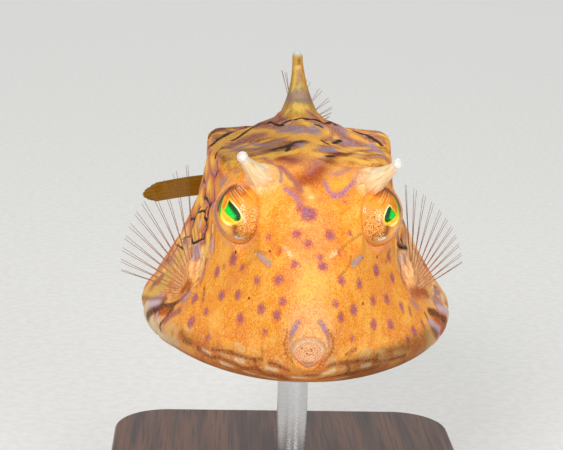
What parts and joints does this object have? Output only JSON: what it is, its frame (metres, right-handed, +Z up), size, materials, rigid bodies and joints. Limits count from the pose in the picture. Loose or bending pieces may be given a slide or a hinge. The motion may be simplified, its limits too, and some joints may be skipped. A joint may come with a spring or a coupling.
{
  "type": "thornback cowfish model",
  "caption": "Life-size still model of a thornback cowfish with horns over the eyes, a thorn on the back and spread pectoral fins, on a flat base with a rod.",
  "frame": {"origin": "middle of the underside of the stand's base", "axes": "+Z up, the fish's nose towards -Y, its left side towards +X and its tail curled round towards -X"},
  "size_m": [0.062, 0.0917, 0.0812],
  "materials": {
    "skin": "satin, orange with mauve spots",
    "lip": "satin pink",
    "horn": "satin cream",
    "eye": "wet gloss, copper iris with a green pupil",
    "fin": "thin and see-through with brown rays",
    "tail_fin": "amber",
    "stand_wood": "dark satin",
    "stand_metal": "brushed"
  },
  "bodies": {
    "root": {"head": "skin", "carapace": "skin", "thorn": "skin", "keel_spine_left": "skin", "keel_spine_right": "skin", "tail": "skin", "lips": "lip", "horn_left": "horn", "horn_right": "horn", "eye_left": "eye", "eye_right": "eye", "fin_pectoral_left": "fin", "fin_pectoral_right": "fin", "fin_dorsal": "fin", "fin_anal": "fin", "fin_tail": "tail_fin", "stand_base": "stand_wood", "stand_collar": "stand_metal", "stand_rod": "stand_metal"}
  },
  "joints": []
}
